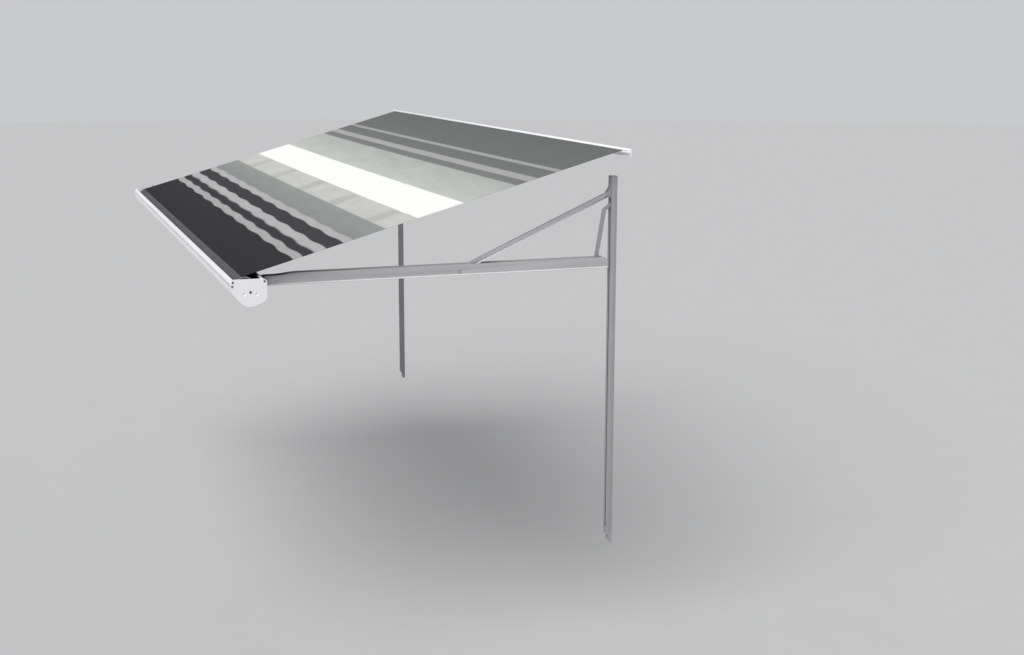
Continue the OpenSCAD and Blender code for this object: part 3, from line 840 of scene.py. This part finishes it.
class AWNING_OT_roll(bpy.types.Operator):
    """Make the turns of fabric on the roller tube as one spiral"""

    bl_idname = "awning.roll"
    bl_label = "Fabric roll"

    def execute(self, context):
        inner = TUBE_R + ROLL_GAP
        pitch = (ROLL_R - inner) / ROLL_TURNS
        thick = pitch * ROLL_CLOTH
        steps = ROLL_TURNS * TURN_STEPS
        half = SHEET_W / 2
        shape = bmesh.new()
        layer = shape.loops.layers.uv.new("cloth")
        places = {}
        rings = []
        for x in even_steps(-half, half, ROLL_STEPS):
            outer, under = [], []
            for i in range(steps + 1):
                # The outer turn starts where the sheet meets the roll and goes down the front
                angle = math.tau * i / TURN_STEPS
                radial = UP * math.cos(angle) + ALONG * math.sin(angle)
                radius = max(ROLL_R - pitch * i / TURN_STEPS, inner + thick)
                for line, r in ((outer, radius), (under, radius - thick)):
                    vert = shape.verts.new(AXLE + ACROSS * x + radial * r)
                    places[vert] = (x, angle * ROLL_R)
                    line.append(vert)
            rings.append(outer + under[::-1])
        count = len(rings[0])
        for a, b in zip(rings, rings[1:]):
            for k in range(count):
                n = (k + 1) % count
                shape.faces.new((a[k], a[n], b[n], b[k]))
        for ring in (rings[0], rings[-1]):
            for i in range(steps):
                far = count - 1 - i
                shape.faces.new((ring[i], ring[i + 1], ring[far - 1], ring[far]))
        lay_uvs(shape, layer, places)
        mesh = meshed("fabric_roll_turns", shape)
        made = new_object("fabric_roll_turns", mesh, "rolled_fabric")
        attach(made, "roller")
        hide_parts("fabric_roll")
        return {"FINISHED"}


class AWNING_OT_lead_rail(bpy.types.Operator):
    """Finish the lead rail, its end plates, seal, screws and port caps"""

    bl_idname = "awning.lead_rail"
    bl_label = "Lead rail"

    def execute(self, context):
        eased("lead_rail", "arm_frame", "rail_paint", RAIL_EDGE, FRONT_SMOOTH)
        for end in ENDS:
            plate = f"end_plate_{end}"
            eased(plate, "arm_frame", "plate_paint", PLATE_EDGE, FRONT_SMOOTH)
            paint_node(f"plate_screws_{end}", "dark_steel")
            paint_node(f"port_cap_{end}", "black_rubber")
        paint_node("wiper_seal", "black_rubber")
        return {"FINISHED"}


class AWNING_OT_arms(bpy.types.Operator):
    """Finish the arms with their toes, shoes, pins and bolts"""

    bl_idname = "awning.arms"
    bl_label = "Arms"

    def execute(self, context):
        for end in ENDS:
            eased(f"arm_{end}", "arm_frame", "arm_metal", ARM_EDGE)
            eased(f"arm_shoe_{end}", "arm_frame", "cast_grey")
            eased(f"arm_toe_{end}", "arm_frame", "cast_grey", TOE_EDGE)
            for pin in ("arm_pin", "stay_pin", "shoe_bolts"):
                paint_node(f"{pin}_{end}", "steel")
        return {"FINISHED"}


class AWNING_OT_braces(bpy.types.Operator):
    """Finish the braces and the stays with their bushes, buttons and pins"""

    bl_idname = "awning.braces"
    bl_label = "Braces and stays"

    def execute(self, context):
        for end in ENDS:
            brace, stay = f"brace_{end}", f"stay_{end}"
            eased(brace, brace, "brace_metal", BRACE_EDGE)
            paint_node(f"brace_bushes_{end}", "black_plastic")
            eased(stay, stay, "track_metal", STAY_EDGE)
            paint_node(f"slide_button_{end}", "white_plastic")
            paint_node(f"button_pin_{end}", "steel")
        return {"FINISHED"}


class AWNING_OT_tracks(bpy.types.Operator):
    """Finish the side tracks, their feet and the brace brackets"""

    bl_idname = "awning.tracks"
    bl_label = "Tracks"

    def execute(self, context):
        for end in ENDS:
            eased(f"track_{end}", "wall_frame", "track_metal", TRACK_EDGE)
            eased(f"track_foot_{end}", "wall_frame", "track_metal", FOOT_EDGE)
            eased(f"brace_bracket_{end}", "wall_frame", "track_metal")
            paint_node(f"bracket_pin_{end}", "steel")
        return {"FINISHED"}


class AWNING_OT_wall_rail(bpy.types.Operator):
    """Finish the wall rail, its end caps and the fabric's bead"""

    bl_idname = "awning.wall_rail"
    bl_label = "Wall rail"

    def execute(self, context):
        eased("wall_rail", "wall_frame", "white_paint")
        eased("rail_caps", "wall_frame", "white_plastic", CAP_EDGE)
        paint_node("fabric_bead", "black_plastic")
        return {"FINISHED"}


class AWNING_OT_roller(bpy.types.Operator):
    """Finish the roller tube, its motor and its plugs"""

    bl_idname = "awning.roller"
    bl_label = "Roller"

    def execute(self, context):
        paint_node("roller_tube", "rail_metal")
        paint_node("tube_motor", "motor_case")
        for node in ("motor_shaft", "idler_shaft"):
            paint_node(node, "steel")
        for node in ("crown_ring", "drive_wheel", "idler_plug"):
            paint_node(node, "black_plastic")
        return {"FINISHED"}


class AWNING_OT_stage(bpy.types.Operator):
    """Set the camera, the lights and the pale floor"""

    bl_idname = "awning.stage"
    bl_label = "Stage"

    def execute(self, context):
        scene = context.scene
        self.camera(scene)
        self.floor(scene, scene.awning_stage)
        self.surroundings(scene, scene.awning_stage)
        self.key_light(scene, scene.awning_stage)
        scene.view_settings.view_transform = "Standard"
        return {"FINISHED"}

    def camera(self, scene):
        """The camera at the photograph's viewing angle."""
        lens = bpy.data.cameras.new("view_lens")
        lens.lens = CAMERA_LENS
        lens.sensor_width = CAMERA_SENSOR
        lens.clip_end = CAMERA_REACH
        camera = bpy.data.objects.new("view", lens)
        turn = CAMERA_FORWARD.to_track_quat("-Z", "Y").to_matrix().to_4x4()
        roll = Matrix.Rotation(CAMERA_ROLL, 4, "Z")
        camera.matrix_world = Matrix.Translation(CAMERA_AT) @ turn @ roll
        scene.collection.objects.link(camera)
        scene.camera = camera

    def floor(self, scene, stage):
        """A wide plain disc with a faint mottle."""
        shape = bmesh.new()
        bmesh.ops.create_circle(shape, cap_ends=True, segments=FLOOR_SIDES, radius=stage.floor_r)
        mesh = bpy.data.meshes.new("floor")
        shape.to_mesh(mesh)
        shape.free()
        floor = bpy.data.objects.new("floor", mesh)
        floor.location.z = stage.floor_z
        scene.collection.objects.link(floor)
        mesh.materials.append(coated("floor", stage.floor, roughness=0.6, peel=30.0, spread=0.01))

    def surroundings(self, scene, stage):
        """Pale light from all round, brighter on one side, and the plain backdrop that is seen."""
        world = bpy.data.worlds.new("pale_sky")
        world.use_nodes = True
        tree = world.node_tree
        sky = tree.nodes["Background"]
        sky.inputs["Color"].default_value = SKY_TINT
        toward = put(tree, "ShaderNodeTexCoord").outputs["Generated"]
        values = {0: toward, 1: BRIGHT_SIDE}
        lean = put(tree, "ShaderNodeVectorMath", values, operation="DOT_PRODUCT").outputs["Value"]
        glow = scaled(tree, lean, stage.slant, stage.sky)
        seen = put(tree, "ShaderNodeLightPath").outputs["Is Camera Ray"]
        lit = maths(tree, "MULTIPLY", glow, maths(tree, "SUBTRACT", 1.0, seen))
        shown = maths(tree, "ADD", lit, maths(tree, "MULTIPLY", seen, stage.backdrop))
        tree.links.new(shown, sky.inputs["Strength"])
        scene.world = world

    def key_light(self, scene, stage):
        """One broad soft light from above, in front and to the rear end's side."""
        lamp = bpy.data.lights.new("key_light", "SUN")
        lamp.energy = stage.key
        lamp.angle = stage.softness
        light = bpy.data.objects.new("key_light", lamp)
        light.rotation_euler = (-LIGHT_FROM).to_track_quat("-Z", "Y").to_euler()
        scene.collection.objects.link(light)


OPERATORS = (
    AWNING_OT_stage,
    AWNING_OT_roll,
    AWNING_OT_canopy,
    AWNING_OT_lead_rail,
    AWNING_OT_arms,
    AWNING_OT_braces,
    AWNING_OT_tracks,
    AWNING_OT_wall_rail,
    AWNING_OT_roller,
)


class AWNING_PT_panel(bpy.types.Panel):
    """Settings and buttons of the awning"""

    bl_idname = "AWNING_PT_panel"
    bl_label = "Roll Out Awning"
    bl_space_type = "VIEW_3D"
    bl_region_type = "UI"
    bl_category = "Awning"

    def draw(self, context):
        for group in GROUPS:
            settings = getattr(context.scene, group)
            box = self.layout.box()
            for name in settings.bl_rna.properties.keys():
                if name not in ("rna_type", "name"):
                    box.prop(settings, name)
        for operator in OPERATORS:
            self.layout.operator(operator.bl_idname)


CLASSES = (*GROUPS.values(), *OPERATORS, AWNING_PT_panel)


def register():
    """Registers the classes and hangs the settings on the scene."""
    for made in CLASSES:
        bpy.utils.register_class(made)
    for name, group in GROUPS.items():
        setattr(bpy.types.Scene, name, bpy.props.PointerProperty(type=group))


def unregister():
    """Takes the settings and the classes away again."""
    for name in GROUPS:
        delattr(bpy.types.Scene, name)
    for made in reversed(CLASSES):
        bpy.utils.unregister_class(made)


def main():
    """Makes every piece in order."""
    register()
    for operator in OPERATORS:
        group, name = operator.bl_idname.split(".")
        getattr(getattr(bpy.ops, group), name)()


if __name__ == "__main__":
    main()
